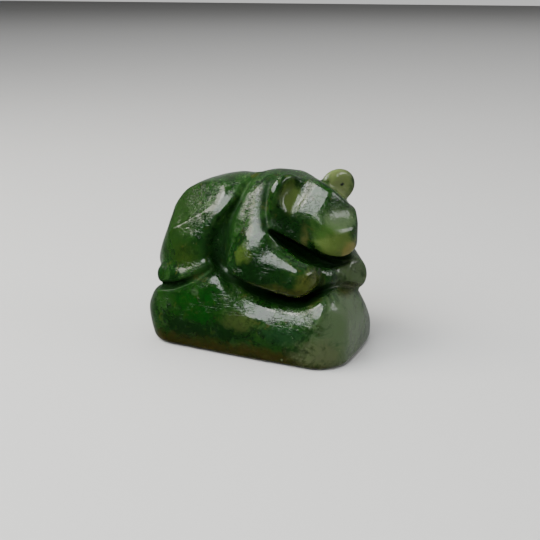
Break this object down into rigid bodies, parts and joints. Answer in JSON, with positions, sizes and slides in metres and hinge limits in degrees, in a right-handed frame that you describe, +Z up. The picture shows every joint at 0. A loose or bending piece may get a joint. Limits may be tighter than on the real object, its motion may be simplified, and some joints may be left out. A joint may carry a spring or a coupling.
{
  "type": "jade bear carving",
  "caption": "Small polished green jade carving of a bear lying on a rounded rock base, head turned to one side, cut from one stone.",
  "frame": {"origin": "centre of the bounding box in plan, on the flat underside of the rock", "axes": "+X from the bear's rump to its head, +Y to the bear's left side, +Z up"},
  "size_m": [0.0464, 0.0282, 0.038],
  "materials": {
    "nephrite_jade": "polished"
  },
  "bodies": {
    "root": {"jade_bear_carving": "nephrite_jade"}
  },
  "joints": []
}
